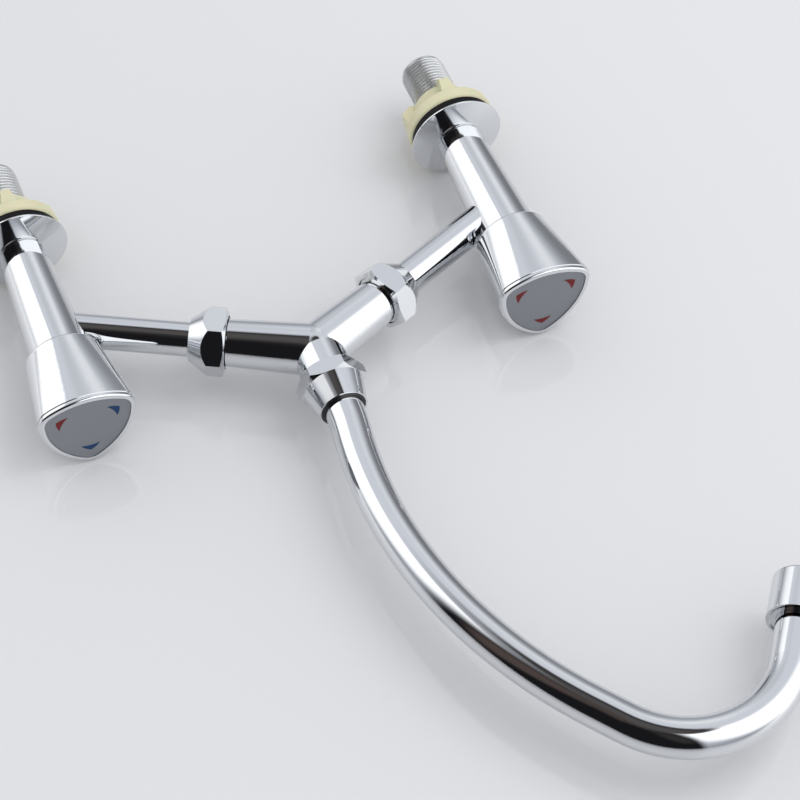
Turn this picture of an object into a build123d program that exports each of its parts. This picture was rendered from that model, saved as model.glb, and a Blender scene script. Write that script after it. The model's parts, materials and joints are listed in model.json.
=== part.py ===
"""Two-handle bridge kitchen mixer: two deck pillars, a Y bridge and a swivelling swan-neck spout.

Millimetres, +Z up along the pillars, +X along the hole line with the cold pillar at +X,
front towards -Y, origin in the deck plane midway between the two tails.
"""
import os
from math import atan2, cos, degrees, hypot, radians, sin, sqrt, tan

from build123d import *

# Layout of the pillars and the bridge
HOLE_SPACING = 208.0
ARM_HEIGHT = 47.9
BRIDGE_RISE = 50.0

# Deck flange
FLANGE_DIAMETER = 43.4
FLANGE_HEIGHT = 3.6
FLANGE_RIM = 0.7
FLANGE_EDGE_RADIUS = 0.25
FLANGE_BULGE = 0.25
WASHER_RECESS_DEPTH = 0.6

# Threaded tail
TAIL_THREAD_DIAMETER = 20.955
TAIL_LENGTH = 45.2
TAIL_BORE = 14.0
TAIL_END_CHAMFER = 1.2
THREAD_PITCH = 1.814
THREAD_GROOVE_WIDTH = 0.45
THREAD_GROOVE_DEPTH = 0.5
RELIEF_WIDTH = 1.2
RELIEF_DEPTH = 0.9
SPIGOT_DEPTH = 10.0

# Seal washer and wing backnut
WASHER_DIAMETER = 39.4
WASHER_THICKNESS = 5.5
BACKNUT_DIAMETER = 41.0
BACKNUT_FLANGE = 6.7
BACKNUT_EDGE_ROUND = 1.8
BACKNUT_HUB_DIAMETER = 25.0
BACKNUT_HUB_ROOT = 30.0
BACKNUT_HUB_LENGTH = 16.4
BACKNUT_LENGTH = 18.4
WING_COUNT = 4
WING_TOP_THICKNESS = 2.4
WING_ROOT_THICKNESS = 8.0
WING_TOP_REACH = 14.6
WING_CORNER_REACH = 19.4
WING_CORNER_DROP = 4.6

# Pillar body
SPIGOT_DIAMETER = 12.0
WATERWAY_DIAMETER = 8.4
SHOULDER_DIAMETER = 21.2
SHOULDER_ROUND = 1.4
PILLAR_MIDDLE_DIAMETER = 24.2
PILLAR_TOP_DIAMETER = 27.0
PILLAR_ABOVE_ARM = 17.9
CHAMBER_DIAMETER = 18.0
CHAMBER_BELOW_ARM = 9.5

# Arm tubes
ARM_DIAMETER = 15.2
ARM_WALL = 1.2
ARM_END_IN_BRANCH = 20.0

# Y bridge
BRANCH_ROOT_DIAMETER = 23.6
BRANCH_END_DIAMETER = 20.6
KNUCKLE_DIAMETER = 24.0
BRANCH_COLLAR_DIAMETER = 22.6
BRANCH_COLLAR_START = 39.2
BRANCH_COLLAR_LENGTH = 1.6
BRANCH_THREAD_DIAMETER = 21.6
BRANCH_THREAD_LENGTH = 4.2
RISER_DIAMETER = 23.0
RISER_SHOULDER = 14.2
RISER_THREAD_DIAMETER = 22.0
RISER_TOP = 20.6

# Union nuts
NUT_FLATS = 27.0
NUT_MOUTH_LEAD = 0.6
NUT_MOUTH_DIAMETER = 23.4
NUT_MOUTH_DEPTH = 2.6
NUT_CHAMFER_LENGTH = 1.4
NUT_CHAMFER_WIDTH = 3.0
NUT_HEX_LENGTH = 10.1
NUT_CORNER_DROP = 2.7
NUT_CONE_LENGTH = 5.9
NUT_CONE_END_DIAMETER = 18.8
NUT_END_WALL = 2.4
UNION_SEAL_LENGTH = 3.4
UNION_NUT_TURN = 7.0

# Spout nut and its bush
SPOUT_NUT_GAP = 0.4
SPOUT_NUT_CHAMFER_LENGTH = 2.4
SPOUT_NUT_CHAMFER_WIDTH = 3.6
SPOUT_NUT_HEX_LENGTH = 8.0
SPOUT_NUT_CORNER_DROP = 1.6
SPOUT_NUT_CONE_LENGTH = 11.6
SPOUT_NUT_CONE_END_DIAMETER = 21.6
SPOUT_NUT_MOUTH_DIAMETER = 20.2
SPOUT_NUT_MOUTH_DEPTH = 4.0
SPOUT_NUT_TURN = 12.0
SPOUT_BUSH_DIAMETER = 21.4
SPOUT_BUSH_LIP = 0.1
SPOUT_BUSH_LENGTH = 11.0

# Swan-neck spout, along its centreline from the bridge upwards
SPOUT_DIAMETER = 17.2
SPOUT_WALL = 1.0
SPOUT_RISE = 33.0
LEAN_RADIUS = 110.0
LEAN_ANGLE = 8.0
SWEEP_RADIUS = 207.0
SWEEP_ANGLE = 46.4
SWEEP_RUN = 13.8
CROOK_RADIUS = 44.8
CROOK_ANGLE = 107.6
OUTLET_RUN = 33.0

# Brass tail at the foot of the spout
SPOUT_TAIL_START = 2.0
SPOUT_TAIL_BORE = 11.0
SPOUT_COLLAR_DIAMETER = 20.6
SPOUT_COLLAR_LENGTH = 2.0
SPOUT_SPIGOT_LENGTH = 7.0
SPOUT_RING_HEIGHTS = (7.0, 13.0)
SPOUT_RING_THICKNESS = 2.0

# Aerator
AERATOR_DIAMETER = 25.4
AERATOR_LENGTH = 20.2
AERATOR_WALL = 0.9
AERATOR_SKIRT_DEPTH = 1.8
AERATOR_SKIRT_LEAD = 0.3
AERATOR_EDGE_ROUND = 1.2
AERATOR_LIP = 2.2
AERATOR_LIP_HEIGHT = 1.4
OUTLET_COLLAR_DIAMETER = 21.4
OUTLET_COLLAR_LENGTH = 12.9
AERATOR_CUP_LENGTH = 4.4
AERATOR_CUP_WALL = 1.0
AERATOR_CUP_FLOOR = 1.2
JET_COUNT = 8
JET_DIAMETER = 2.0
MESH_THICKNESS = 0.5
MESH_SLOT = 1.1
MESH_STEP = 2.0

# Ceramic headwork
SEAT_SEAL_THICKNESS = 2.2
SEAT_SEAL_BORE = 9.0
DISC_DIAMETER = 15.6
DISC_THICKNESS = 3.0
DISC_PORT_ANGLE = 80.0
DISC_PORT_INNER = 3.0
DISC_PORT_OUTER = 12.2
CAGE_DIAMETER = 17.4
CAGE_BORE = 16.3
CAGE_WINDOW_WIDTH = 9.0
CAGE_BAND = 3.3
BONNET_THREAD_LENGTH = 4.9
BONNET_FLATS = 20.0
BONNET_HEX_LENGTH = 4.0
BONNET_NECK_DIAMETER = 12.0
BONNET_NECK_LENGTH = 3.0
SPINDLE_DIAMETER = 8.0
SPINDLE_ABOVE_PILLAR = 24.6
DRIVER_DIAMETER = 15.0
DRIVER_THICKNESS = 2.6
TONGUE_WIDTH = 3.0
TONGUE_HEIGHT = 1.1
SPINDLE_RING_DEPTH = 2.4
SPINDLE_RING_THICKNESS = 1.8
CIRCLIP_THICKNESS = 0.8
CIRCLIP_DIAMETER = 12.0
SPLINE_COUNT = 20
SPLINE_LENGTH = 12.0
SPLINE_DEPTH = 0.5

# Knob
KNOB_GAP = 0.6
KNOB_BASE_DIAMETER = 34.2
KNOB_SIDE_HEIGHT = 36.6
KNOB_CORNER_REACH = 23.3
KNOB_SIDE_REACH = 19.2
KNOB_CORNER_RADIUS = 8.5
KNOB_BASE_ROUND = 1.2
KNOB_FOOT_HEIGHT = 1.5
KNOB_SIDE_SPLIT = 40.0
KNOB_BEAD_INSET = 0.35
KNOB_BEAD_HEIGHT = 2.3
KNOB_BEAD_WIDTH = 2.1
KNOB_BEAD_ROUND = 0.95
KNOB_CAVITY_DIAMETER = 27.8
KNOB_CAVITY_HEIGHT = 29.0
KNOB_BOSS_DIAMETER = 14.0
KNOB_BOSS_RISE = 10.0
PLATE_THICKNESS = 1.2
PLATE_SET_BACK = 0.5
SCREW_DIAMETER = 4.0
SCREW_HEAD_DIAMETER = 8.0
SCREW_HEAD_HEIGHT = 2.6
SCREW_LENGTH = 14.0
SCREW_SOCKET = 2.5
SCREW_SOCKET_DEPTH = 1.6
SCREW_WELL_DIAMETER = 9.6
SCREW_WEB = 1.6

# Clearances
FIXED_CLEARANCE = 0.05
RUNNING_CLEARANCE = 0.08
SLIP_CLEARANCE = 0.1
FACE_GAP = 0.05
THREAD_CLEARANCE = 0.1
PLATE_CLEARANCE = 0.06

# Sizes that follow from the ones above
HALF_SPACING = HOLE_SPACING / 2
BRIDGE_HEIGHT = ARM_HEIGHT + BRIDGE_RISE
PILLAR_TOP = ARM_HEIGHT + PILLAR_ABOVE_ARM
CHAMBER_FLOOR = ARM_HEIGHT - CHAMBER_BELOW_ARM
BONNET_HEAD_START = PILLAR_TOP - BONNET_THREAD_LENGTH
SPINDLE_TOP = PILLAR_TOP + SPINDLE_ABOVE_PILLAR
SPINDLE_RING_HEIGHT = PILLAR_TOP - SPINDLE_RING_DEPTH
KNOB_BASE = PILLAR_TOP + KNOB_GAP
KNOB_SIDE_TOP = KNOB_BASE + KNOB_SIDE_HEIGHT
KNOB_CAVITY_TOP = KNOB_BASE + KNOB_CAVITY_HEIGHT
KNOB_BOSS_BASE = KNOB_BASE + KNOB_BOSS_RISE
ARM_SLOPE = degrees(atan2(BRIDGE_RISE, HALF_SPACING))
ARM_SPAN = hypot(BRIDGE_RISE, HALF_SPACING)
TAIL_TOP = WASHER_RECESS_DEPTH
WASHER_UNDERSIDE = WASHER_RECESS_DEPTH - WASHER_THICKNESS
BACKNUT_TOP = WASHER_UNDERSIDE - 2 * FACE_GAP
SHOULDER_BASE = FLANGE_HEIGHT
NUT_START = BRANCH_COLLAR_START - NUT_MOUTH_LEAD
NUT_LENGTH = NUT_HEX_LENGTH + NUT_CONE_LENGTH
BRANCH_END = BRANCH_COLLAR_START + BRANCH_COLLAR_LENGTH + BRANCH_THREAD_LENGTH
SPOUT_NUT_START = RISER_SHOULDER + SPOUT_NUT_GAP
SPOUT_NUT_END = SPOUT_NUT_START + SPOUT_NUT_HEX_LENGTH + SPOUT_NUT_CONE_LENGTH
SPOUT_COLLAR_START = RISER_TOP + 2 * FACE_GAP
SPOUT_TUBE_START = SPOUT_COLLAR_START + SPOUT_COLLAR_LENGTH
SPOUT_BUSH_START = SPOUT_NUT_END + SPOUT_BUSH_LIP - SPOUT_BUSH_LENGTH
FIXED_DISC_BASE = CHAMBER_FLOOR + SEAT_SEAL_THICKNESS
MOVING_DISC_BASE = FIXED_DISC_BASE + DISC_THICKNESS + FACE_GAP
DRIVER_BASE = MOVING_DISC_BASE + DISC_THICKNESS + FACE_GAP
BONNET_TOP = PILLAR_TOP + BONNET_HEX_LENGTH + BONNET_NECK_LENGTH
KNOB_TOP = KNOB_SIDE_TOP + KNOB_BEAD_HEIGHT
PLATE_TOP = KNOB_TOP - PLATE_SET_BACK
PLATE_BASE = PLATE_TOP - PLATE_THICKNESS
SCREW_SEAT = SPINDLE_TOP + 2 * FACE_GAP + SCREW_WEB
SIDES = {"hot": -1, "cold": 1}


def turned(points):
    """Solid of revolution about Z from a closed outline of (radius, height) points."""
    outline = Wire.make_polygon([(r, 0, z) for r, z in points], close=True)
    return revolve(Face(outline), Axis.Z)


def ring(inner, outer, low, high):
    """Plain ring about Z between two diameters and two heights."""
    return turned([(inner / 2, low), (outer / 2, low), (outer / 2, high), (inner / 2, high)])


def rod(diameter, low, high):
    """Plain cylinder about Z between two heights."""
    return Pos(0, 0, low) * Cylinder(diameter / 2, high - low, align=(Align.CENTER, Align.CENTER, Align.MIN))


def hexagon(flats, low, high):
    """Hexagonal bar about Z, measured across its flats."""
    return extrude(Pos(0, 0, low) * RegularPolygon(flats / sqrt(3), 6), high - low)


def round_ring(centre_diameter, thickness, height):
    """O-ring about Z with a round section."""
    section = Pos(centre_diameter / 2, 0, height) * Rot(90, 0, 0) * Circle(thickness / 2)
    return revolve(section, Axis.Z)


def at_pillar(shape, side):
    """Carry a piece made about Z to one pillar's axis."""
    return Pos(side * HALF_SPACING, 0, 0) * shape


def along_arm(shape, side):
    """Carry a piece made about Z from the origin to one arm's axis, outward from the bridge's centre."""
    return Pos(0, 0, BRIDGE_HEIGHT) * Rot(0, side * (90 + ARM_SLOPE), 0) * shape


def on_riser(shape):
    """Carry a piece made about Z from the origin to the spout's upright axis."""
    return Pos(0, 0, BRIDGE_HEIGHT) * shape


# Deck fixing
def deck_flange():
    """Thin-rimmed chrome cover bowed up to the pillar's shoulder, with a shallow washer seat below."""
    rim, bore = FLANGE_DIAMETER / 2, SPIGOT_DIAMETER / 2 + FIXED_CLEARANCE
    crown = SHOULDER_DIAMETER / 2 - SHOULDER_ROUND
    edge = rim - FLANGE_EDGE_RADIUS
    side = FLANGE_RIM - FLANGE_EDGE_RADIUS
    diagonal = FLANGE_EDGE_RADIUS * (1 - sqrt(0.5))
    middle = (FLANGE_RIM + FLANGE_HEIGHT) / 2 + FLANGE_BULGE
    outline = Wire([
        Edge.make_line((bore, 0, 0), (rim, 0, 0)),
        Edge.make_line((rim, 0, 0), (rim, 0, side)),
        Edge.make_three_point_arc((rim, 0, side), (rim - diagonal, 0, FLANGE_RIM - diagonal),
                                  (edge, 0, FLANGE_RIM)),
        Edge.make_three_point_arc((edge, 0, FLANGE_RIM), ((edge + crown) / 2, 0, middle),
                                  (crown, 0, FLANGE_HEIGHT)),
        Edge.make_line((crown, 0, FLANGE_HEIGHT), (bore, 0, FLANGE_HEIGHT)),
        Edge.make_line((bore, 0, FLANGE_HEIGHT), (bore, 0, 0))])
    recess = rod(WASHER_DIAMETER + 2 * SLIP_CLEARANCE, -WASHER_RECESS_DEPTH, WASHER_RECESS_DEPTH)
    return revolve(Face(outline), Axis.Z) - recess


def threaded_tail():
    """Hollow inlet tail with thread grooves, a relief below the nut and a socket for the pillar."""
    crest = TAIL_THREAD_DIAMETER / 2
    low = TAIL_TOP - TAIL_LENGTH
    relief = BACKNUT_TOP - BACKNUT_LENGTH - RELIEF_WIDTH
    points = [(TAIL_BORE / 2, low), (crest - TAIL_END_CHAMFER, low), (crest, low + TAIL_END_CHAMFER)]
    groove = low + TAIL_END_CHAMFER + THREAD_PITCH
    while groove < relief - THREAD_PITCH:
        points += [(crest, groove), (crest - THREAD_GROOVE_DEPTH, groove + THREAD_GROOVE_WIDTH / 2)]
        points += [(crest, groove + THREAD_GROOVE_WIDTH)]
        groove += THREAD_PITCH
    points += [(crest, relief), (crest - RELIEF_DEPTH, relief + RELIEF_DEPTH / 2)]
    points += [(crest - RELIEF_DEPTH, relief + RELIEF_WIDTH), (crest, relief + RELIEF_WIDTH + RELIEF_DEPTH / 2)]
    points += [(crest, TAIL_TOP), (TAIL_BORE / 2, TAIL_TOP)]
    wall = ring(SPIGOT_DIAMETER + 2 * FIXED_CLEARANCE, TAIL_BORE + 2 * FIXED_CLEARANCE,
                TAIL_TOP - SPIGOT_DEPTH, TAIL_TOP)
    return turned(points) + wall


def seal_washer():
    """Flat rubber washer between the flange and the deck."""
    return ring(TAIL_THREAD_DIAMETER + 2 * THREAD_CLEARANCE, WASHER_DIAMETER, WASHER_UNDERSIDE, TAIL_TOP)


def wing_backnut():
    """Moulded backnut: rounded flange, tapered hub and standing finger wings that thicken towards their roots."""
    bore = TAIL_THREAD_DIAMETER / 2 + THREAD_CLEARANCE
    low = BACKNUT_TOP - BACKNUT_LENGTH
    root = BACKNUT_TOP - BACKNUT_FLANGE / 2
    tip = BACKNUT_DIAMETER / 2
    nut = ring(2 * bore, BACKNUT_DIAMETER, BACKNUT_TOP - BACKNUT_FLANGE, BACKNUT_TOP)
    nut = fillet(nut.edges().filter_by(GeomType.CIRCLE).group_by(SortBy.RADIUS)[-1], BACKNUT_EDGE_ROUND)
    nut += turned([(bore, root), (BACKNUT_HUB_ROOT / 2, root),
                   (BACKNUT_HUB_ROOT / 2, BACKNUT_TOP - BACKNUT_FLANGE),
                   (BACKNUT_HUB_DIAMETER / 2, BACKNUT_TOP - BACKNUT_HUB_LENGTH),
                   (bore, BACKNUT_TOP - BACKNUT_HUB_LENGTH)])
    fin = Wire.make_polygon([(bore, 0, root), (tip - BACKNUT_EDGE_ROUND / 2, 0, root),
                             (WING_CORNER_REACH, 0, low + WING_CORNER_DROP), (WING_TOP_REACH, 0, low),
                             (bore, 0, low)], close=True)
    taper = Wire.make_polygon([(0, -WING_ROOT_THICKNESS / 2, root), (0, WING_ROOT_THICKNESS / 2, root),
                               (0, WING_TOP_THICKNESS / 2, low), (0, -WING_TOP_THICKNESS / 2, low)], close=True)
    wing = extrude(Face(fin), WING_ROOT_THICKNESS, dir=(0, 1, 0), both=True)
    wing = wing & extrude(Face(taper), BACKNUT_DIAMETER, dir=(1, 0, 0))
    for turn in range(WING_COUNT):
        nut += Rot(0, 0, turn * 360 / WING_COUNT) * wing
    return nut - rod(2 * bore, low - BACKNUT_LENGTH, BACKNUT_TOP + BACKNUT_LENGTH)


# Pillar
def pillar_outline():
    """Closed outline of the pillar body: spigot, rounded shoulder and a gently bowed taper."""
    spigot = SPIGOT_DIAMETER / 2
    shoulder, top = SHOULDER_DIAMETER / 2, PILLAR_TOP_DIAMETER / 2
    low = TAIL_TOP - SPIGOT_DEPTH + FACE_GAP
    round_top = SHOULDER_BASE + SHOULDER_ROUND
    diagonal = SHOULDER_ROUND * (1 - sqrt(0.5))
    middle = (round_top + PILLAR_TOP) / 2
    return Wire([
        Edge.make_line((0, 0, low), (spigot, 0, low)),
        Edge.make_line((spigot, 0, low), (spigot, 0, SHOULDER_BASE)),
        Edge.make_line((spigot, 0, SHOULDER_BASE), (shoulder - SHOULDER_ROUND, 0, SHOULDER_BASE)),
        Edge.make_three_point_arc((shoulder - SHOULDER_ROUND, 0, SHOULDER_BASE),
                                  (shoulder - diagonal, 0, SHOULDER_BASE + diagonal),
                                  (shoulder, 0, round_top)),
        Edge.make_three_point_arc((shoulder, 0, round_top), (PILLAR_MIDDLE_DIAMETER / 2, 0, middle),
                                  (top, 0, PILLAR_TOP)),
        Edge.make_line((top, 0, PILLAR_TOP), (0, 0, PILLAR_TOP)),
        Edge.make_line((0, 0, PILLAR_TOP), (0, 0, low))])


def pillar_body(side):
    """Pillar with its waterway, valve chamber and the brazed arm's socket."""
    body = revolve(Face(pillar_outline()), Axis.Z)
    body -= rod(WATERWAY_DIAMETER, -TAIL_LENGTH, CHAMBER_FLOOR)
    body -= rod(CHAMBER_DIAMETER, CHAMBER_FLOOR, PILLAR_TOP)
    socket = rod(ARM_DIAMETER + 2 * FIXED_CLEARANCE, ARM_SPAN / 2, ARM_SPAN)
    return at_pillar(body, side) - along_arm(socket, side)


def arm_tube(side):
    """Chrome tube from inside the bridge's branch to the pillar, coped to the valve chamber."""
    tube = ring(ARM_DIAMETER - 2 * ARM_WALL, ARM_DIAMETER, ARM_END_IN_BRANCH, ARM_SPAN)
    cope = rod(CHAMBER_DIAMETER, 0, 2 * PILLAR_TOP)
    return along_arm(tube, side) - at_pillar(cope, side)


# Ceramic headwork
def butterfly(height, low):
    """Two opposite port sectors, as a cutter."""
    sector = ring(DISC_PORT_INNER, DISC_PORT_OUTER, low, low + height)
    keep = Part()
    for turn in (0, 180):
        wedge = Wire.make_polygon([
            (0, 0, low), (DISC_DIAMETER, -DISC_DIAMETER * tan(radians(DISC_PORT_ANGLE / 2)), low),
            (DISC_DIAMETER, DISC_DIAMETER * tan(radians(DISC_PORT_ANGLE / 2)), low)], close=True)
        keep += Rot(0, 0, turn) * extrude(Face(wedge), height, dir=(0, 0, 1))
    return sector & keep


def seat_seal():
    """Rubber ring under the fixed disc."""
    return ring(SEAT_SEAL_BORE, DISC_DIAMETER, CHAMBER_FLOOR, FIXED_DISC_BASE)


def fixed_disc():
    """Lower ceramic disc with two ports."""
    disc = rod(DISC_DIAMETER, FIXED_DISC_BASE, FIXED_DISC_BASE + DISC_THICKNESS)
    return disc - butterfly(DISC_THICKNESS, FIXED_DISC_BASE)


def moving_disc():
    """Upper ceramic disc, shut at rest with its ports a quarter turn from the lower ones."""
    top = MOVING_DISC_BASE + DISC_THICKNESS
    disc = rod(DISC_DIAMETER, MOVING_DISC_BASE, top)
    disc -= Rot(0, 0, 90) * butterfly(DISC_THICKNESS, MOVING_DISC_BASE)
    slot = Box(DISC_DIAMETER, TONGUE_WIDTH + 2 * SLIP_CLEARANCE, TONGUE_HEIGHT + SLIP_CLEARANCE,
               align=(Align.CENTER, Align.CENTER, Align.MAX))
    return disc - Pos(0, 0, top) * slot


def bonnet():
    """Brass bonnet: a windowed cage round the discs, a threaded head and a hexagon."""
    cage = ring(CAGE_BORE, CAGE_DIAMETER, FIXED_DISC_BASE, BONNET_HEAD_START)
    window_height = BONNET_HEAD_START - DRIVER_BASE - DRIVER_THICKNESS - CAGE_BAND
    window = Box(2 * CAGE_DIAMETER, CAGE_WINDOW_WIDTH, window_height,
                 align=(Align.CENTER, Align.CENTER, Align.MIN))
    cage -= Pos(0, 0, DRIVER_BASE + DRIVER_THICKNESS) * window
    head = rod(CHAMBER_DIAMETER - 2 * FIXED_CLEARANCE, BONNET_HEAD_START, PILLAR_TOP)
    head += hexagon(BONNET_FLATS, PILLAR_TOP, PILLAR_TOP + BONNET_HEX_LENGTH)
    head += rod(BONNET_NECK_DIAMETER, PILLAR_TOP, BONNET_TOP)
    head -= rod(SPINDLE_DIAMETER + 2 * RUNNING_CLEARANCE, CHAMBER_FLOOR, 2 * BONNET_TOP)
    return cage + head


def spindle():
    """Spindle: tongued driver below, ring groove, splined head and a tapped hole."""
    stem = rod(SPINDLE_DIAMETER, DRIVER_BASE, SPINDLE_TOP)
    stem += rod(DRIVER_DIAMETER, DRIVER_BASE, DRIVER_BASE + DRIVER_THICKNESS)
    tongue = Box(DRIVER_DIAMETER, TONGUE_WIDTH, TONGUE_HEIGHT, align=(Align.CENTER, Align.CENTER, Align.MAX))
    stem += (Pos(0, 0, DRIVER_BASE) * tongue) & rod(DRIVER_DIAMETER, CHAMBER_FLOOR, SPINDLE_TOP)
    half = SPINDLE_RING_THICKNESS / 2 + FIXED_CLEARANCE
    groove_diameter = SPINDLE_DIAMETER - SPINDLE_RING_THICKNESS
    stem -= ring(groove_diameter, 2 * SPINDLE_DIAMETER, SPINDLE_RING_HEIGHT - half, SPINDLE_RING_HEIGHT + half)
    clip = BONNET_TOP + 2 * FACE_GAP
    stem -= ring(groove_diameter, 2 * SPINDLE_DIAMETER, clip, clip + CIRCLIP_THICKNESS + FACE_GAP)
    tooth = Pos(SPINDLE_DIAMETER / 2, 0, SPINDLE_TOP) * Rot(0, 0, 45) * Box(
        SPLINE_DEPTH * sqrt(2), SPLINE_DEPTH * sqrt(2), SPLINE_LENGTH,
        align=(Align.CENTER, Align.CENTER, Align.MAX))
    for turn in range(SPLINE_COUNT):
        stem -= Rot(0, 0, turn * 360 / SPLINE_COUNT) * tooth
    return stem - rod(SCREW_DIAMETER, SPINDLE_TOP - SCREW_LENGTH, SPINDLE_TOP)


def spindle_ring():
    """O-ring in the spindle's groove, sealing on the bonnet's bore."""
    section = SPINDLE_RING_THICKNESS / 2
    return round_ring(SPINDLE_DIAMETER - section, section, SPINDLE_RING_HEIGHT)


def circlip():
    """Open spring clip that holds the spindle up in the bonnet."""
    low = BONNET_TOP + 2 * FACE_GAP + FACE_GAP / 2
    bore = SPINDLE_DIAMETER - SPINDLE_RING_THICKNESS + 2 * FIXED_CLEARANCE
    clip = ring(bore, CIRCLIP_DIAMETER, low, low + CIRCLIP_THICKNESS)
    mouth = Box(CIRCLIP_DIAMETER, SPINDLE_DIAMETER / 2, 2 * CIRCLIP_THICKNESS,
                align=(Align.MIN, Align.CENTER, Align.CENTER))
    return clip - Pos(0, 0, low) * mouth


# Knob
def trilobe(reach, side_reach, corner_radius, height, inset=0.0):
    """Wire of a rounded triangle with bowed sides, one corner pointing back (+Y).

    The side arcs have their centres at distance e behind the axis, found from tangency with the corner
    arcs: (k/2 + e)^2 + 3k^2/4 = (side_reach + e - corner_radius)^2, with k = reach - corner_radius.
    """
    k = reach - corner_radius
    flat = side_reach - corner_radius
    e = (k * k - flat * flat) / (2 * flat - k)
    side_radius = side_reach + e
    reach_angle = degrees(atan2(k * sin(radians(60)), k / 2 + e))
    edges = []
    for turn in (-90, 30, 150):
        centre = (-e * cos(radians(turn)), -e * sin(radians(turn)))

        def on_side(angle):
            at = radians(turn + angle)
            r = side_radius - inset
            return (centre[0] + r * cos(at), centre[1] + r * sin(at), height)

        corner = turn + 60
        middle = (reach - inset) * cos(radians(corner)), (reach - inset) * sin(radians(corner)), height
        following = turn + 120
        start_next = (-e * cos(radians(following)), -e * sin(radians(following)))
        at_next = radians(following - reach_angle)
        after = (start_next[0] + (side_radius - inset) * cos(at_next),
                 start_next[1] + (side_radius - inset) * sin(at_next), height)
        edges.append(Edge.make_three_point_arc(on_side(-reach_angle), on_side(0), on_side(reach_angle)))
        edges.append(Edge.make_three_point_arc(on_side(reach_angle), middle, after))
    return Wire(edges)


def split_circle(diameter, height, side_half_angle):
    """Circle cut at the same six places as the rounded triangle, so that the two loft face to face."""
    r = diameter / 2

    def at(angle):
        return (r * cos(radians(angle)), r * sin(radians(angle)), height)

    edges = []
    for turn in (-90, 30, 150):
        edges.append(Edge.make_three_point_arc(at(turn - side_half_angle), at(turn), at(turn + side_half_angle)))
        edges.append(Edge.make_three_point_arc(at(turn + side_half_angle), at(turn + 60),
                                               at(turn + 120 - side_half_angle)))
    return Wire(edges)


def knob():
    """Three-cornered knob flaring from a round foot, with a bead round its inset top."""
    top = trilobe(KNOB_CORNER_REACH, KNOB_SIDE_REACH, KNOB_CORNER_RADIUS, KNOB_SIDE_TOP)
    foot_top = KNOB_BASE + KNOB_FOOT_HEIGHT
    foot = split_circle(KNOB_BASE_DIAMETER, foot_top, KNOB_SIDE_SPLIT)
    body = Solid.make_loft([foot, top], True)
    base = rod(KNOB_BASE_DIAMETER, KNOB_BASE, foot_top)
    base = fillet(base.edges().group_by(Axis.Z)[0], KNOB_BASE_ROUND)
    bead_outline = Face(trilobe(KNOB_CORNER_REACH, KNOB_SIDE_REACH, KNOB_CORNER_RADIUS,
                                KNOB_SIDE_TOP, KNOB_BEAD_INSET))
    bead = extrude(bead_outline, KNOB_BEAD_HEIGHT, dir=(0, 0, 1))
    bead = fillet(bead.edges().group_by(Axis.Z)[-1], KNOB_BEAD_ROUND)
    shell = body + base + bead
    recess = Face(trilobe(KNOB_CORNER_REACH, KNOB_SIDE_REACH, KNOB_CORNER_RADIUS,
                          PLATE_BASE, KNOB_BEAD_INSET + KNOB_BEAD_WIDTH))
    shell -= extrude(recess, KNOB_BEAD_HEIGHT, dir=(0, 0, 1))
    shell -= ring(KNOB_BOSS_DIAMETER, KNOB_CAVITY_DIAMETER, KNOB_BASE, KNOB_CAVITY_TOP)
    shell -= rod(KNOB_CAVITY_DIAMETER, KNOB_BASE, KNOB_BOSS_BASE)
    shell -= rod(SPINDLE_DIAMETER + 2 * FIXED_CLEARANCE, KNOB_BASE, SPINDLE_TOP + 2 * FACE_GAP)
    shell -= rod(SCREW_DIAMETER + 2 * SLIP_CLEARANCE, KNOB_BASE, PLATE_BASE)
    shell -= rod(SCREW_WELL_DIAMETER, SCREW_SEAT, PLATE_BASE)
    return shell


def index_plate():
    """Flat grey plate set into the knob's top."""
    outline = Face(trilobe(KNOB_CORNER_REACH, KNOB_SIDE_REACH, KNOB_CORNER_RADIUS,
                           PLATE_BASE, KNOB_BEAD_INSET + KNOB_BEAD_WIDTH + PLATE_CLEARANCE))
    return extrude(outline, PLATE_THICKNESS, dir=(0, 0, 1))


def knob_screw():
    """Socket-head screw that holds the knob on its spindle."""
    screw = rod(SCREW_DIAMETER - 2 * FIXED_CLEARANCE, SPINDLE_TOP - SCREW_LENGTH + SCREW_DIAMETER, SCREW_SEAT)
    screw += rod(SCREW_HEAD_DIAMETER, SCREW_SEAT, SCREW_SEAT + SCREW_HEAD_HEIGHT)
    top = SCREW_SEAT + SCREW_HEAD_HEIGHT
    return screw - hexagon(SCREW_SOCKET, top - SCREW_SOCKET_DEPTH, top)


# Bridge
def branch(thread_end):
    """One tapered branch with its collar and threaded end, as a solid bar about Z."""
    bar = turned([(0, 0), (BRANCH_ROOT_DIAMETER / 2, 0), (BRANCH_END_DIAMETER / 2, BRANCH_COLLAR_START),
                  (0, BRANCH_COLLAR_START)])
    bar += rod(BRANCH_COLLAR_DIAMETER, BRANCH_COLLAR_START, BRANCH_COLLAR_START + BRANCH_COLLAR_LENGTH)
    return bar + rod(BRANCH_THREAD_DIAMETER, BRANCH_COLLAR_START, thread_end)


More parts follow.
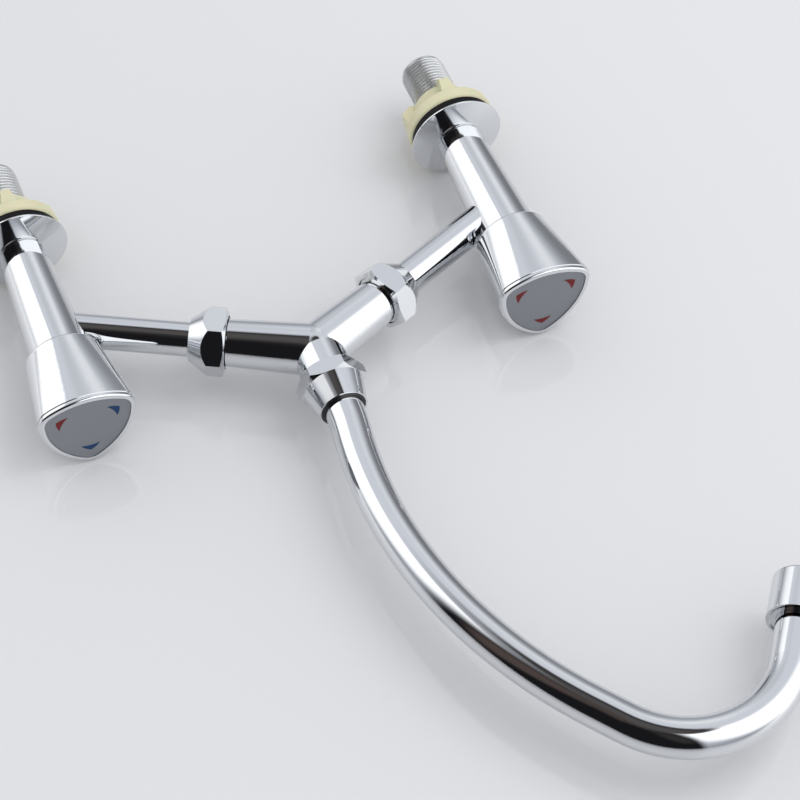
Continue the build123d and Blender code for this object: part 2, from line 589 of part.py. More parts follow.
def y_body():
    """Cast Y: two sloping branches for the arms and an upright riser for the spout."""
    arms = along_arm(branch(BRANCH_END), -1) + along_arm(branch(BRANCH_END), 1)
    body = arms + on_riser(Sphere(KNUCKLE_DIAMETER / 2))
    body += on_riser(rod(RISER_DIAMETER, 0, RISER_SHOULDER))
    body += on_riser(rod(RISER_THREAD_DIAMETER, 0, RISER_TOP))
    bore = rod(ARM_DIAMETER + 2 * SLIP_CLEARANCE, ARM_END_IN_BRANCH - FACE_GAP, 2 * BRANCH_END)
    way = rod(ARM_DIAMETER - 2 * ARM_WALL, 0, BRANCH_END)
    for side in SIDES.values():
        body -= along_arm(bore, side)
        body -= along_arm(way, side)
    body -= on_riser(rod(SPOUT_DIAMETER + 2 * RUNNING_CLEARANCE, SPOUT_TAIL_START - FACE_GAP, 2 * RISER_TOP))
    return body - on_riser(rod(SPOUT_TAIL_BORE, 0, RISER_TOP))


def hex_cone_nut(hex_length, cone_length, cone_end, corner_drop, chamfer_width, chamfer_length):
    """Solid nut blank about Z from zero: hexagon with both ends chamfered, then a cone down to the tube."""
    corner = NUT_FLATS / sqrt(3)
    total = hex_length + cone_length
    bar = hexagon(NUT_FLATS, 0, total)
    trim = turned([(0, 0), (corner - chamfer_width, 0), (corner, chamfer_length),
                   (corner, hex_length - corner_drop), (NUT_FLATS / 2, hex_length),
                   (cone_end / 2, total), (0, total)])
    return bar & trim


def union_nut(side):
    """Nut that draws the arm's seal into the branch's end."""
    nut = hex_cone_nut(NUT_HEX_LENGTH, NUT_CONE_LENGTH, NUT_CONE_END_DIAMETER, NUT_CORNER_DROP,
                       NUT_CHAMFER_WIDTH, NUT_CHAMFER_LENGTH)
    inner = BRANCH_THREAD_DIAMETER + 2 * FIXED_CLEARANCE
    depth = BRANCH_END - NUT_START + UNION_SEAL_LENGTH + 2 * FACE_GAP
    nut -= rod(NUT_MOUTH_DIAMETER, 0, NUT_MOUTH_DEPTH)
    nut -= rod(inner, 0, depth)
    nut -= turned([(0, depth), (inner / 2, depth), (ARM_DIAMETER / 2 + SLIP_CLEARANCE, depth + NUT_END_WALL),
                   (0, depth + NUT_END_WALL)])
    nut -= rod(ARM_DIAMETER + 2 * SLIP_CLEARANCE, 0, 2 * NUT_LENGTH)
    return along_arm(Pos(0, 0, NUT_START) * Rot(0, 0, UNION_NUT_TURN) * nut, side)


def union_seal(side):
    """Rubber ring squeezed between the branch's end, the nut and the arm."""
    low = BRANCH_END + FACE_GAP
    return along_arm(ring(ARM_DIAMETER + 2 * FIXED_CLEARANCE, BRANCH_THREAD_DIAMETER - 2 * SLIP_CLEARANCE,
                          low, low + UNION_SEAL_LENGTH), side)


def spout_nut():
    """Long coned nut that holds the spout's collar down on the riser."""
    nut = hex_cone_nut(SPOUT_NUT_HEX_LENGTH, SPOUT_NUT_CONE_LENGTH, SPOUT_NUT_CONE_END_DIAMETER,
                       SPOUT_NUT_CORNER_DROP, SPOUT_NUT_CHAMFER_WIDTH, SPOUT_NUT_CHAMFER_LENGTH)
    length = SPOUT_NUT_END - SPOUT_NUT_START
    nut -= rod(RISER_THREAD_DIAMETER + 2 * FIXED_CLEARANCE, 0, SPOUT_COLLAR_START - SPOUT_NUT_START)
    nut -= rod(SPOUT_BUSH_DIAMETER + 2 * FIXED_CLEARANCE, 0, length - SPOUT_NUT_MOUTH_DEPTH)
    nut -= rod(SPOUT_NUT_MOUTH_DIAMETER, 0, 2 * length)
    return on_riser(Pos(0, 0, SPOUT_NUT_START) * Rot(0, 0, SPOUT_NUT_TURN) * nut)


def spout_bush():
    """Black guide bush in the mouth of the spout nut."""
    bore = SPOUT_DIAMETER + 2 * RUNNING_CLEARANCE
    step = SPOUT_NUT_END - SPOUT_NUT_MOUTH_DEPTH - FACE_GAP
    bush = ring(bore, SPOUT_BUSH_DIAMETER, SPOUT_BUSH_START, step)
    lip = SPOUT_NUT_MOUTH_DIAMETER - 2 * FIXED_CLEARANCE
    return on_riser(bush + ring(bore, lip, SPOUT_BUSH_START, SPOUT_NUT_END + SPOUT_BUSH_LIP))


# Spout
def spout_route():
    """Centreline edges in the XZ plane, with the end point and the end direction's angle from +Z."""
    place, heading = (0.0, BRIDGE_HEIGHT + SPOUT_TUBE_START), 0.0
    edges = []

    def run(length):
        nonlocal place
        end = (place[0] - length * sin(heading), place[1] + length * cos(heading))
        edges.append(Edge.make_line((place[0], 0, place[1]), (end[0], 0, end[1])))
        place = end

    def bend(radius, angle):
        nonlocal place, heading
        sense = 1 if angle > 0 else -1
        turn = radians(angle)

        def at(part):
            h = heading + part * turn
            return (place[0] - sense * radius * (cos(heading) - cos(h)),
                    place[1] + sense * radius * (sin(h) - sin(heading)))

        middle, end = at(0.5), at(1.0)
        edges.append(Edge.make_three_point_arc((place[0], 0, place[1]), (middle[0], 0, middle[1]),
                                               (end[0], 0, end[1])))
        place = end
        heading += turn

    run(SPOUT_RISE - SPOUT_TUBE_START)
    bend(LEAN_RADIUS, -LEAN_ANGLE)
    bend(SWEEP_RADIUS, SWEEP_ANGLE)
    run(SWEEP_RUN)
    bend(CROOK_RADIUS, CROOK_ANGLE)
    run(OUTLET_RUN)
    return edges, place, heading


def spout_tube():
    """Swept chrome tube."""
    edges, _, _ = spout_route()
    section = Circle(SPOUT_DIAMETER / 2) - Circle(SPOUT_DIAMETER / 2 - SPOUT_WALL)
    start = Pos(0, 0, BRIDGE_HEIGHT + SPOUT_TUBE_START) * section
    return sweep(start, path=Wire(edges))


def spout_tail():
    """Brass foot of the spout: ring grooves, a captive collar and a spigot inside the tube."""
    spigot = SPOUT_DIAMETER - 2 * SPOUT_WALL - 2 * FIXED_CLEARANCE
    tail = rod(SPOUT_DIAMETER, SPOUT_TAIL_START, SPOUT_TUBE_START - FACE_GAP)
    tail += rod(SPOUT_COLLAR_DIAMETER, SPOUT_COLLAR_START, SPOUT_TUBE_START - FACE_GAP)
    tail += rod(spigot, SPOUT_TAIL_START, SPOUT_TUBE_START + SPOUT_SPIGOT_LENGTH)
    half = SPOUT_RING_THICKNESS / 2 + FIXED_CLEARANCE
    for height in SPOUT_RING_HEIGHTS:
        tail -= ring(SPOUT_DIAMETER - 2 * SPOUT_RING_THICKNESS, 2 * SPOUT_DIAMETER, height - half, height + half)
    return on_riser(tail - rod(SPOUT_TAIL_BORE, 0, 2 * RISER_TOP))


def spout_rings():
    """The two O-rings on the spout's foot."""
    thickness = SPOUT_RING_THICKNESS - 2 * FIXED_CLEARANCE
    rings = []
    for height in SPOUT_RING_HEIGHTS:
        rings.append(on_riser(round_ring(SPOUT_DIAMETER - thickness, thickness, height)))
    return Compound(children=rings)


def at_outlet(shape):
    """Carry a piece made about Z, with the outlet at zero and the spout above it, to the spout's end."""
    _, place, heading = spout_route()
    return Pos(place[0], 0, place[1]) * Rot(0, 180 - degrees(heading), 0) * shape


def outlet_collar():
    """Brazed end fitting over the tube's end, which the aerator screws on to."""
    return at_outlet(ring(SPOUT_DIAMETER + 2 * FIXED_CLEARANCE, OUTLET_COLLAR_DIAMETER, 0, OUTLET_COLLAR_LENGTH))


def aerator_low():
    """Height of the aerator's outlet face below the tube's end."""
    return -(AERATOR_LENGTH - OUTLET_COLLAR_LENGTH - AERATOR_SKIRT_LEAD)


def aerator_shell():
    """Chrome shell with a skirt that overhangs the collar and a turned-in lip at the outlet."""
    low = aerator_low()
    high = low + AERATOR_LENGTH
    shell = rod(AERATOR_DIAMETER, low, high)
    shell = fillet(shell.edges().group_by(Axis.Z)[0], AERATOR_EDGE_ROUND)
    shell -= rod(AERATOR_DIAMETER - 2 * AERATOR_WALL, high - AERATOR_SKIRT_DEPTH, high + AERATOR_WALL)
    shell -= rod(OUTLET_COLLAR_DIAMETER + 2 * FIXED_CLEARANCE, low + AERATOR_LIP_HEIGHT, high)
    return at_outlet(shell - rod(OUTLET_COLLAR_DIAMETER - 2 * AERATOR_LIP, low - AERATOR_WALL, high))


def aerator_cup():
    """Plastic flow former: a cup with a floor of small jets."""
    low = aerator_low() + AERATOR_LIP_HEIGHT + FACE_GAP + MESH_THICKNESS
    outer = OUTLET_COLLAR_DIAMETER - 2 * FIXED_CLEARANCE
    cup = rod(outer, low, low + AERATOR_CUP_LENGTH)
    cup -= rod(outer - 2 * AERATOR_CUP_WALL, low + AERATOR_CUP_FLOOR, low + 2 * AERATOR_CUP_LENGTH)
    jet = Pos(outer / 4, 0, 0) * rod(JET_DIAMETER, low - AERATOR_CUP_FLOOR, low + 2 * AERATOR_CUP_FLOOR)
    for turn in range(JET_COUNT):
        cup -= Rot(0, 0, turn * 360 / JET_COUNT) * jet
    return at_outlet(cup)


def aerator_mesh():
    """Steel screen behind the outlet lip."""
    low = aerator_low() + AERATOR_LIP_HEIGHT
    outer = OUTLET_COLLAR_DIAMETER - 2 * FIXED_CLEARANCE
    screen = rod(outer, low, low + MESH_THICKNESS)
    field = outer / 2 - AERATOR_LIP
    count = int(field / MESH_STEP)
    holes = Part()
    hole = Box(MESH_SLOT, MESH_SLOT, 4 * MESH_THICKNESS)
    for row in range(-count, count + 1):
        for column in range(-count, count + 1):
            if hypot(row, column) * MESH_STEP < field - MESH_SLOT:
                holes += Pos(column * MESH_STEP, row * MESH_STEP, low) * hole
    return at_outlet(screen - holes)


def aerator_washer():
    """Rubber washer between the flow former and the tube's end fitting."""
    low = aerator_low() + AERATOR_LIP_HEIGHT + 2 * FACE_GAP + MESH_THICKNESS + AERATOR_CUP_LENGTH
    outer = OUTLET_COLLAR_DIAMETER - 2 * FIXED_CLEARANCE
    return at_outlet(ring(outer - 4 * AERATOR_CUP_WALL, outer, low, -FACE_GAP))


# Every node by name
PILLAR_PIECES = {
    "flange": deck_flange, "tail": threaded_tail, "seal_washer": seal_washer, "backnut": wing_backnut,
    "seat_seal": seat_seal, "fixed_disc": fixed_disc, "moving_disc": moving_disc, "bonnet": bonnet,
    "spindle": spindle, "spindle_ring": spindle_ring, "circlip": circlip, "knob": knob,
    "index_plate": index_plate, "knob_screw": knob_screw}
BRIDGE_PIECES = {"pillar": pillar_body, "arm": arm_tube, "union_nut": union_nut, "union_seal": union_seal}
CENTRE_PIECES = {
    "y_body": y_body, "spout_nut": spout_nut, "spout_bush": spout_bush, "spout_tube": spout_tube,
    "spout_tail": spout_tail, "spout_rings": spout_rings, "outlet_collar": outlet_collar,
    "aerator_shell": aerator_shell, "aerator_cup": aerator_cup, "aerator_mesh": aerator_mesh,
    "aerator_washer": aerator_washer}

os.makedirs("parts", exist_ok=True)
for name, make in PILLAR_PIECES.items():
    piece = make()
    for label, side in SIDES.items():
        export_step(at_pillar(piece, side), f"parts/{label}_{name}.step")
for name, make in BRIDGE_PIECES.items():
    for label, side in SIDES.items():
        export_step(make(side), f"parts/{label}_{name}.step")
for name, make in CENTRE_PIECES.items():
    export_step(make(), f"parts/{name}.step")
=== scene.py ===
"""Looks of the bridge kitchen mixer, lying on a pale table as in its photograph."""

import json
import math

import bpy
import numpy as np
from mathutils import Matrix, Vector

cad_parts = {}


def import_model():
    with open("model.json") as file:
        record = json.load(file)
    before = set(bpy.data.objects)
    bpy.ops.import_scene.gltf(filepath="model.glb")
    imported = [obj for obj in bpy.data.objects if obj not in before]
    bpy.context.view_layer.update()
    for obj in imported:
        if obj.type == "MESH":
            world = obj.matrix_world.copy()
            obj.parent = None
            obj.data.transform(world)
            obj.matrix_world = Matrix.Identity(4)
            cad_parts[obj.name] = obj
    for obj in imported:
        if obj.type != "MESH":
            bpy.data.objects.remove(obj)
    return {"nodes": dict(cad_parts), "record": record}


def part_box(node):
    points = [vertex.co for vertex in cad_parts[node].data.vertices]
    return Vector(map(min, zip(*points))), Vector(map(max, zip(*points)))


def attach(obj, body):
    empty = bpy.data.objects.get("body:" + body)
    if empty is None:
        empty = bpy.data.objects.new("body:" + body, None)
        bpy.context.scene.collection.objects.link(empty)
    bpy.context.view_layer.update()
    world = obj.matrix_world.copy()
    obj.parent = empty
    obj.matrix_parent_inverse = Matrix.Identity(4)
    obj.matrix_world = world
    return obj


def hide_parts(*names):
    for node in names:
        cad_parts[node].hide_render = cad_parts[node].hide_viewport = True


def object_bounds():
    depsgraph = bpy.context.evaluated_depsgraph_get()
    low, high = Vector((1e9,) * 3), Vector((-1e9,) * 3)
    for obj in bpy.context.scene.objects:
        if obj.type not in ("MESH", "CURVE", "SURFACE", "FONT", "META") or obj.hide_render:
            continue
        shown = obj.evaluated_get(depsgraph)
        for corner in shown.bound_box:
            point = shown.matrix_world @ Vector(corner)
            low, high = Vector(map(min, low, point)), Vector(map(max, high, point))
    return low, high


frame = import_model()
CAD_LOW, CAD_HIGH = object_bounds()
NODES = frame["nodes"]
SCENE = bpy.context.scene
MM = 0.001

# Part, in millimetres
HALF_SPACING = 104.0
SIDES = {"hot": -1, "cold": 1}

# Meshes: points around a ring, and the angles in degrees past which an edge stays sharp
RING_STEPS = 96
CAD_SHARP_ANGLE = 28.0
SURFACE_SHARP_ANGLE = 40.0

# G1/2 thread of the tails, in millimetres
THREAD_CREST = 10.4775
THREAD_DEPTH = 1.1
THREAD_PITCH = 1.814
THREAD_LEAD = 1.2
THREAD_ROWS = 480

# Bore of the tails, and the radius and rise of each ring of their rounded end, in millimetres
BORE_TOP = -9.4
WATERWAY_RADIUS = 6.05
BORE_RADIUS = 7.0
BORE_MOUTH_RADIUS = 7.5
BORE_CHAMFER = 0.6
END_ROUND = ((8.9, 0.0), (9.3, 0.12), (9.7, 0.5))

# Coloured marks of the index plates, in millimetres and degrees
MARK_INNER = 12.8
MARK_HEIGHT = 3.3
MARK_HALF_ANGLE = 19.0
MARK_CURVE = 0.9
MARK_LIFT = 0.04
MARK_ROWS = 6
MARK_COLUMNS = 25
MARK_CORNERS = (90, 210, 330)
COLD_RED_CORNER = 330

# Table and lamp, in metres and watts
TABLE_GAP = 0.0003
TABLE_Y = CAD_HIGH.y + TABLE_GAP
TABLE_HALF = 4.0
TABLE_COLOUR = (0.75, 0.753, 0.77)
TABLE_ROUGHNESS = 0.07
LAMP_PLACE = (-0.85, -1.30, 0.16)
LAMP_TARGET = (0.0, 0.0, 0.20)
LAMP_SIZE = 1.0
LAMP_POWER = 5.0

# Camera: place and clip in metres, the axes of its picture, lens and sensor in millimetres
CAMERA_PLACE = (0.2488, -0.8912, 0.7757)
CAMERA_RIGHT = Vector((-0.93334, -0.02892, 0.35783))
CAMERA_DOWN = Vector((0.26568, 0.61471, 0.74266))
CAMERA_FORWARD = Vector((-0.24144, 0.78822, -0.56605))
CAMERA_LENS = 119.68
CAMERA_SENSOR = 36.0
CAMERA_CLIP = (0.01, 20.0)

# Layout of the node editor
NODE_COLUMN = 220
NODE_ROW = 320
NODES_IN_ROW = 8


# Node helpers
def node(tree, kind, **values):
    """Add a shader node and set its attributes, or its sockets by name or number after in_."""
    count = len(tree.nodes)
    added = tree.nodes.new(kind)
    added.location = (NODE_COLUMN * (count % NODES_IN_ROW), -NODE_ROW * (count // NODES_IN_ROW))
    for key, value in values.items():
        if key.startswith("in_"):
            name = key[3:].replace("_", " ")
            socket = added.inputs[int(name)] if name.isdigit() else added.inputs[name]
            socket.default_value = value
        else:
            setattr(added, key, value)
    return added


def new_material(name):
    """Empty node material; returns the material and its tree."""
    material = bpy.data.materials.new(name)
    material.use_nodes = True
    material.node_tree.nodes.clear()
    return material, material.node_tree


def smudge_group():
    """Shared group: faint wear from object coordinates, as a roughness between two values."""
    group = bpy.data.node_groups.new("Smudge", "ShaderNodeTree")
    for name in ("Low", "High", "Scale"):
        group.interface.new_socket(name, in_out="INPUT", socket_type="NodeSocketFloat")
    group.interface.new_socket("Roughness", in_out="OUTPUT", socket_type="NodeSocketFloat")
    start = node(group, "NodeGroupInput")
    end = node(group, "NodeGroupOutput")
    where = node(group, "ShaderNodeTexCoord")
    noise = node(group, "ShaderNodeTexNoise", in_Detail=3.0, in_Roughness=0.6)
    spread = node(group, "ShaderNodeMapRange", in_From_Min=0.35, in_From_Max=0.75)
    group.links.new(where.outputs["Object"], noise.inputs["Vector"])
    group.links.new(start.outputs["Scale"], noise.inputs["Scale"])
    group.links.new(noise.outputs["Fac"], spread.inputs["Value"])
    group.links.new(start.outputs["Low"], spread.inputs["To Min"])
    group.links.new(start.outputs["High"], spread.inputs["To Max"])
    group.links.new(spread.outputs[0], end.inputs["Roughness"])
    return group


SMUDGE = smudge_group()


def plain(name, colour, low, high, scale, metallic=0.0, **extra):
    """Principled material whose roughness wanders between two values."""
    material, tree = new_material(name)
    out = node(tree, "ShaderNodeOutputMaterial")
    body = node(tree, "ShaderNodeBsdfPrincipled", in_Base_Color=(*colour, 1.0), in_Metallic=metallic)
    for key, value in extra.items():
        body.inputs[key.replace("_", " ")].default_value = value
    wear = node(tree, "ShaderNodeGroup", node_tree=SMUDGE, in_Low=low, in_High=high, in_Scale=scale)
    tree.links.new(wear.outputs["Roughness"], body.inputs["Roughness"])
    tree.links.new(body.outputs[0], out.inputs["Surface"])
    return material


# Materials: colour, the two ends of the roughness, the wear's scale, and 1 for a metal
MATERIALS = {
    "chrome": plain("Chrome", (0.71, 0.725, 0.745), 0.02, 0.05, 60.0, 1.0),
    "zinc_thread": plain("ZincThread", (0.63, 0.64, 0.65), 0.24, 0.36, 160.0, 1.0),
    "brass": plain("Brass", (0.80, 0.60, 0.28), 0.2, 0.34, 120.0, 1.0),
    "steel": plain("Steel", (0.62, 0.63, 0.64), 0.25, 0.4, 160.0, 1.0),
    "rubber": plain("Rubber", (0.006, 0.006, 0.007), 0.42, 0.6, 150.0, Specular_IOR_Level=0.15),
    "ivory_plastic": plain("IvoryPlastic", (0.68, 0.655, 0.445), 0.32, 0.45, 90.0,
                           Subsurface_Weight=0.25, Subsurface_Scale=0.003),
    "white_plastic": plain("WhitePlastic", (0.82, 0.83, 0.83), 0.35, 0.5, 90.0),
    "black_plastic": plain("BlackPlastic", (0.010, 0.010, 0.011), 0.3, 0.42, 90.0),
    "grey_plastic": plain("GreyPlate", (0.20, 0.213, 0.236), 0.34, 0.44, 70.0),
    "ceramic": plain("Ceramic", (0.86, 0.86, 0.84), 0.12, 0.2, 60.0),
}
RED = plain("RedMark", (0.15, 0.007, 0.009), 0.3, 0.4, 90.0, Specular_IOR_Level=0.2)
BLUE = plain("BlueMark", (0.005, 0.036, 0.12), 0.3, 0.4, 90.0, Specular_IOR_Level=0.2)


def smooth(mesh, angle):
    """Shade a mesh smooth, keeping edges sharper than an angle in degrees."""
    mesh.shade_smooth()
    mesh.set_sharp_from_angle(angle=math.radians(angle))


for row in frame["record"]["subparts"]:
    mesh = NODES[row["node"]].data
    mesh.materials.clear()
    mesh.materials.append(MATERIALS[row["material_slot"]])
    smooth(mesh, CAD_SHARP_ANGLE)


# Surfaces
def new_object(name, points, faces, material):
    """Object at the origin with a mesh of faces on points in metres."""
    mesh = bpy.data.meshes.new(name)
    mesh.from_pydata(points, [], faces)
    mesh.materials.append(material)
    o = bpy.data.objects.new(name, mesh)
    SCENE.collection.objects.link(o)
    return o


def surface(name, grid, material, around=True):
    """Mesh of a grid (rows, columns, 3) of points in millimetres; columns close into a ring if around."""
    rows, columns = grid.shape[:2]
    steps = columns if around else columns - 1
    i, j = np.meshgrid(np.arange(rows - 1), np.arange(steps), indexing="ij")
    k = (j + 1) % columns
    corners = ((i, j), (i, k), (i + 1, k), (i + 1, j))
    faces = np.stack([row * columns + column for row, column in corners], -1).reshape(-1, 4)
    o = new_object(name, (grid.reshape(-1, 3) * MM).tolist(), faces.tolist(), material)
    smooth(o.data, SURFACE_SHARP_ANGLE)
    return o


def ring_angles():
    """Angles of the points around a ring."""
    return np.linspace(0, 2 * np.pi, RING_STEPS, endpoint=False)


def turned_grid(radius, height, centre):
    """Grid about an upright axis from radii (rows, columns or 1) and heights (rows)."""
    x = centre + radius * np.cos(ring_angles())
    y = radius * np.sin(ring_angles())
    return np.stack([x, y, np.repeat(height[:, None], RING_STEPS, 1)], -1)


def threaded_tail(label, side):
    """Tail with a rounded helical thread that starts at half its depth.

    r(angle, z) = crest - depth * (s * wave + (1 - s) / 2), where wave = (1 - cos(2 pi z / pitch - angle)) / 2
    and s rises from 0 to 1 along the first pitch.
    """
    low, high = (corner.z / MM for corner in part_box(f"{label}_tail"))
    z = np.linspace(low + THREAD_LEAD, high, THREAD_ROWS)
    wave = (1 - np.cos(2 * np.pi * z[:, None] / THREAD_PITCH - ring_angles())) / 2
    run_out = np.clip((z - low - THREAD_LEAD) / THREAD_PITCH, 0, 1)[:, None]
    r = THREAD_CREST - THREAD_DEPTH * (wave * run_out + (1 - run_out) / 2)
    bore = [(WATERWAY_RADIUS, BORE_TOP), (BORE_RADIUS, BORE_TOP),
            (BORE_RADIUS, low + BORE_CHAMFER), (BORE_MOUTH_RADIUS, low)]
    end = np.array(bore + [(radius, low + rise) for radius, rise in END_ROUND])
    centre = side * HALF_SPACING
    grid = np.concatenate([turned_grid(end[:, :1], end[:, 1], centre), turned_grid(r, z, centre)])
    o = surface(f"{label}_tail_thread", grid, MATERIALS["zinc_thread"])
    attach(o, "bridge")
    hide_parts(f"{label}_tail")


def mark(name, side, corner, material):
    """Curved triangle on the index plate, with a the angle either side of a corner and t from 0 to 1.

    r(a, t) = inner + t * height * (1 - |a| / half) ^ curve.
    """
    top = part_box("hot_index_plate")[1].z / MM
    half = math.radians(MARK_HALF_ANGLE)
    a = np.linspace(-half, half, MARK_COLUMNS)
    t = np.linspace(0, 1, MARK_ROWS)[:, None]
    r = MARK_INNER + t * MARK_HEIGHT * (1 - np.abs(a) / half) ** MARK_CURVE
    at = math.radians(corner) + a
    x = side * HALF_SPACING + r * np.cos(at)
    y = r * np.sin(at)
    o = surface(name, np.stack([x, y, np.full_like(x, top + MARK_LIFT)], -1), material, around=False)
    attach(o, "hot_handle" if side < 0 else "cold_handle")


for label, side in SIDES.items():
    threaded_tail(label, side)
    for corner in MARK_CORNERS:
        colour = BLUE if side > 0 and corner != COLD_RED_CORNER else RED
        mark(f"{label}_mark_{corner}", side, corner, colour)


# Table
def table_material():
    """Smooth pale top, clear from behind."""
    material, tree = new_material("Table")
    out = node(tree, "ShaderNodeOutputMaterial")
    top = node(tree, "ShaderNodeBsdfPrincipled", in_Roughness=TABLE_ROUGHNESS,
               in_Base_Color=(*TABLE_COLOUR, 1.0))
    clear = node(tree, "ShaderNodeBsdfTransparent")
    side = node(tree, "ShaderNodeNewGeometry")
    mix = node(tree, "ShaderNodeMixShader")
    tree.links.new(side.outputs["Backfacing"], mix.inputs[0])
    tree.links.new(top.outputs[0], mix.inputs[1])
    tree.links.new(clear.outputs[0], mix.inputs[2])
    tree.links.new(mix.outputs[0], out.inputs["Surface"])
    return material


def table():
    """Large flat table behind the object's back, facing the camera's side."""
    ends = ((-1, -1), (1, -1), (1, 1), (-1, 1))
    corners = [(x * TABLE_HALF, TABLE_Y, z * TABLE_HALF) for x, z in ends]
    o = new_object("table", corners, [(0, 1, 2, 3)], table_material())


table()


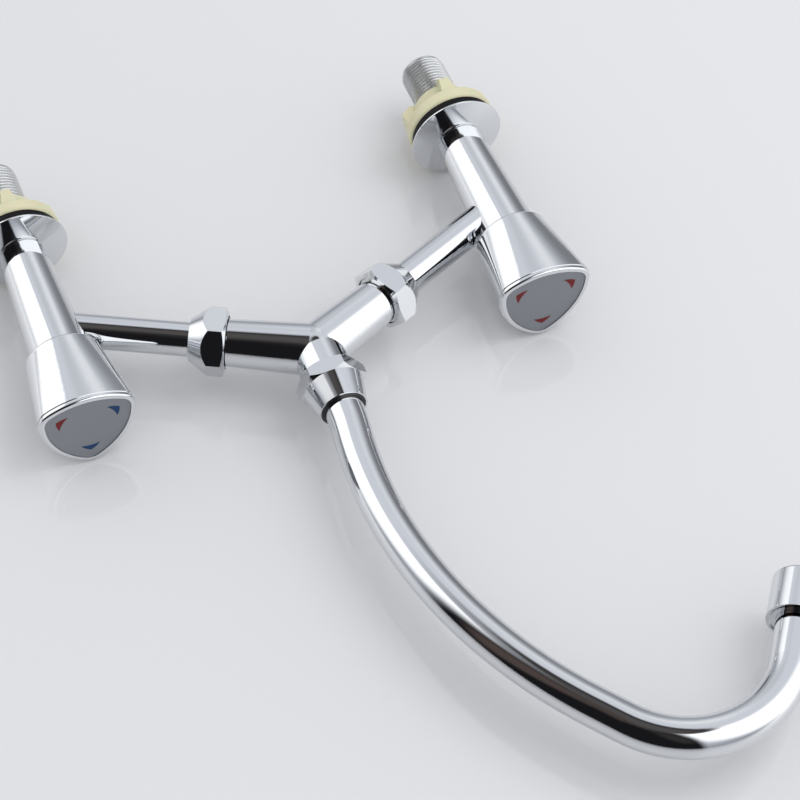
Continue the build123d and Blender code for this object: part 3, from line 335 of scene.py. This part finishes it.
# Light
def world():
    """Pale studio mapped about the table's normal (-Y).

    A ray's place is p = (x, z) / |(x, z)| * acos(-y) / (pi / 2): 0 straight over the table and 1 at the
    horizon. Soft steps and ovals of p lay greys, two white panels and a dark quarter beyond +X and +Z over
    cool grey.
    """
    studio = bpy.data.worlds.new("Studio")
    SCENE.world = studio
    studio.use_nodes = True
    tree = studio.node_tree
    tree.nodes.clear()

    def link(source, target, socket):
        """Link a source to a node's socket; returns the node."""
        tree.links.new(source, target.inputs[socket])
        return target

    def vector(kind, source, other=None):
        """Vector maths of a ray or place, with a fixed vector where one is needed."""
        maths = link(source, node(tree, "ShaderNodeVectorMath", operation=kind), 0)
        if other is not None:
            maths.inputs[1].default_value = other
        return maths

    def pair(kind, first, second):
        """Maths of two values."""
        maths = node(tree, "ShaderNodeMath", operation=kind)
        return link(second, link(first, maths, 0), 1).outputs[0]

    def step(value, start, end):
        """Smooth step of a value, from 0 at the start to 1 at the end."""
        ramp = node(tree, "ShaderNodeMapRange", interpolation_type="SMOOTHSTEP",
                    in_From_Min=start, in_From_Max=end)
        return link(value, ramp, "Value").outputs[0]

    def over(share, below, colour):
        """Lay a colour over what is below by a share."""
        mix = node(tree, "ShaderNodeMix", data_type="RGBA")
        mix.inputs["B"].default_value = (*colour, 1.0)
        return link(below, link(share, mix, "Factor"), "A").outputs["Result"]

    def background(colour):
        """Even light of one colour."""
        return node(tree, "ShaderNodeBackground", in_Color=(*colour, 1.0)).outputs[0]

    def choose(share, first, second):
        """Second shader where the share is 1, else the first."""
        mix = link(share, node(tree, "ShaderNodeMixShader"), 0)
        return link(second, link(first, mix, 1), 2).outputs[0]

    ray = node(tree, "ShaderNodeTexCoord").outputs["Generated"]
    flat = vector("MULTIPLY", ray, (1.0, 0.0, 1.0)).outputs[0]
    unit = vector("NORMALIZE", flat).outputs[0]
    up = vector("DOT_PRODUCT", ray, (0.0, -1.0, 0.0)).outputs["Value"]
    angle = link(up, node(tree, "ShaderNodeMath", operation="ARCCOSINE"), 0).outputs[0]
    share = link(angle, node(tree, "ShaderNodeMath", operation="MULTIPLY", in_1=2 / math.pi), 0)
    place = link(share.outputs[0], vector("SCALE", unit), "Scale").outputs[0]
    far = vector("LENGTH", place).outputs["Value"]

    def along(x, z):
        """How far the place lies along a direction."""
        return vector("DOT_PRODUCT", place, (x, 0.0, z)).outputs["Value"]

    def oval(centre, size, outer, inner):
        """Soft oval: 1 within the inner limit and 0 past the outer one, in units of its size."""
        shifted = vector("SUBTRACT", place, (centre[0], 0.0, centre[1])).outputs[0]
        stretched = vector("DIVIDE", shifted, (size[0], 1.0, size[1])).outputs[0]
        return step(vector("LENGTH", stretched).outputs["Value"], outer, inner)

    # Cool grey that dims towards the horizon, with a darker corner and overhead
    cool = node(tree, "ShaderNodeRGB")
    cool.outputs[0].default_value = (0.80, 0.825, 0.88, 1.0)
    colour = over(step(far, 0.58, 1.0), cool.outputs[0], (0.40, 0.415, 0.45))
    corner = oval(centre=(-0.78, -0.52), size=(0.5, 0.4), outer=1.0, inner=0.2)
    colour = over(corner, colour, (0.24, 0.245, 0.26))
    overhead = oval(centre=(0.06, -0.10), size=(0.30, 0.24), outer=1.0, inner=0.35)
    colour = over(overhead, colour, (0.30, 0.305, 0.32))

    # First white panel, and two shades beside it
    first = oval(centre=(-0.45, 0.30), size=(0.80, 0.56), outer=1.0, inner=0.45)
    first = pair("MULTIPLY", first, step(along(0.0, 1.0), -0.18, 0.02))
    colour = over(first, colour, (1.75, 1.75, 1.75))
    dip = oval(centre=(-0.06, -0.58), size=(0.16, 0.25), outer=1.0, inner=0.1)
    colour = over(dip, colour, (0.68, 0.69, 0.73))
    glow = oval(centre=(-0.28, -0.52), size=(0.14, 0.22), outer=1.0, inner=0.1)
    colour = over(glow, colour, (0.97, 0.98, 1.0))

    # Second white panel, with a straight edge
    second = oval(centre=(0.42, -0.42), size=(0.45, 0.45), outer=1.15, inner=0.6)
    second = pair("MULTIPLY", second, step(along(1.0, -0.4), 0.34, 0.39))
    colour = over(second, colour, (1.45, 1.45, 1.45))

    # Dark quarter and middle, with three fainter patches in them
    quarter = step(along(1.0, -0.04), -0.05, 0.06)
    quarter = pair("MULTIPLY", quarter, step(along(0.1, 1.0), -0.13, 0.03))
    middle = oval(centre=(0.0, -0.03), size=(0.18, 0.20), outer=1.1, inner=0.75)
    dark = pair("MAXIMUM", quarter, middle)
    colour = over(dark, colour, (0.012, 0.012, 0.014))
    haze = oval(centre=(0.06, 0.0), size=(0.34, 0.28), outer=1.0, inner=0.2)
    colour = over(pair("MULTIPLY", dark, haze), colour, (0.10, 0.092, 0.09))
    wedge = oval(centre=(0.55, 0.06), size=(0.50, 0.14), outer=1.0, inner=0.3)
    colour = over(pair("MULTIPLY", dark, wedge), colour, (0.095, 0.072, 0.065))
    dim = oval(centre=(0.14, 0.42), size=(0.14, 0.36), outer=1.0, inner=0.3)
    colour = over(pair("MULTIPLY", dark, dim), colour, (0.040, 0.037, 0.036))

    # Mirrors see the studio, matt faces an even light, and the camera a plain grey
    mirrored = link(colour, node(tree, "ShaderNodeBackground"), "Color").outputs[0]
    path = node(tree, "ShaderNodeLightPath")
    soft = choose(path.outputs["Is Diffuse Ray"], mirrored, background((0.80, 0.805, 0.82)))
    seen = choose(path.outputs["Is Camera Ray"], soft, background((0.73, 0.735, 0.76)))
    link(seen, node(tree, "ShaderNodeOutputWorld"), "Surface")


def softbox(name, place, target, size, power):
    """Square area light aimed at a point, left out of mirrors."""
    light = bpy.data.lights.new(name, "AREA")
    light.shape = "SQUARE"
    light.size = size
    light.energy = power
    lamp = bpy.data.objects.new(name, light)
    lamp.location = place
    lamp.rotation_euler = (Vector(target) - Vector(place)).to_track_quat("-Z", "Y").to_euler()
    lamp.visible_glossy = False
    SCENE.collection.objects.link(lamp)


world()
softbox("overhead", LAMP_PLACE, LAMP_TARGET, LAMP_SIZE, LAMP_POWER)

# Camera
lens = bpy.data.cameras.new("camera")
lens.sensor_width = CAMERA_SENSOR
lens.lens = CAMERA_LENS
lens.clip_start, lens.clip_end = CAMERA_CLIP
camera = bpy.data.objects.new("camera", lens)
turn = Matrix((CAMERA_RIGHT, -CAMERA_DOWN, -CAMERA_FORWARD)).transposed()
camera.matrix_world = Matrix.Translation(CAMERA_PLACE) @ turn.to_4x4()
SCENE.collection.objects.link(camera)
SCENE.camera = camera
SCENE.view_settings.view_transform = "Standard"
SCENE.view_settings.look = "None"
